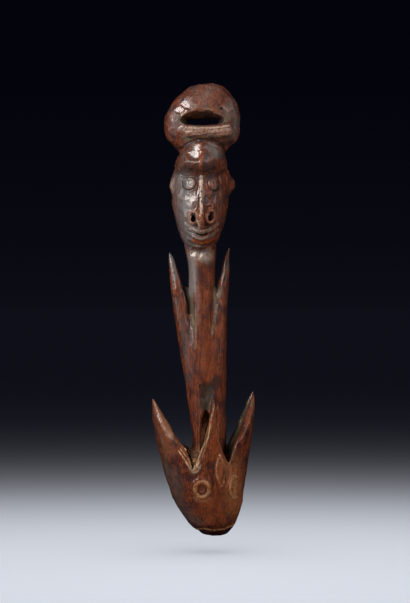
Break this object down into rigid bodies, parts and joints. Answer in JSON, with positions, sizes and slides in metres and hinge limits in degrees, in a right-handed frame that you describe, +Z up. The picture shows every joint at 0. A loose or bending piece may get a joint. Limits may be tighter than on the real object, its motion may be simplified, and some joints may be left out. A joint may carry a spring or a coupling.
{
  "type": "carved suspension hook",
  "caption": "Carved wooden suspension hook with a pierced loop, a long face, side hooks on the shaft and a crown of hooks round a downward head.",
  "frame": {"origin": "middle of the slot in the loop, where the cord holds the hook", "axes": "+Z up along the shaft, the carved face looks along -Y, +X to the viewer's right"},
  "size_m": [0.114, 0.0862, 0.5017],
  "materials": {
    "patinated_hardwood": "hand-carved hardwood with a dark red-brown handling gloss"
  },
  "bodies": {
    "root": {"hook_figure": "patinated_hardwood"}
  },
  "joints": []
}
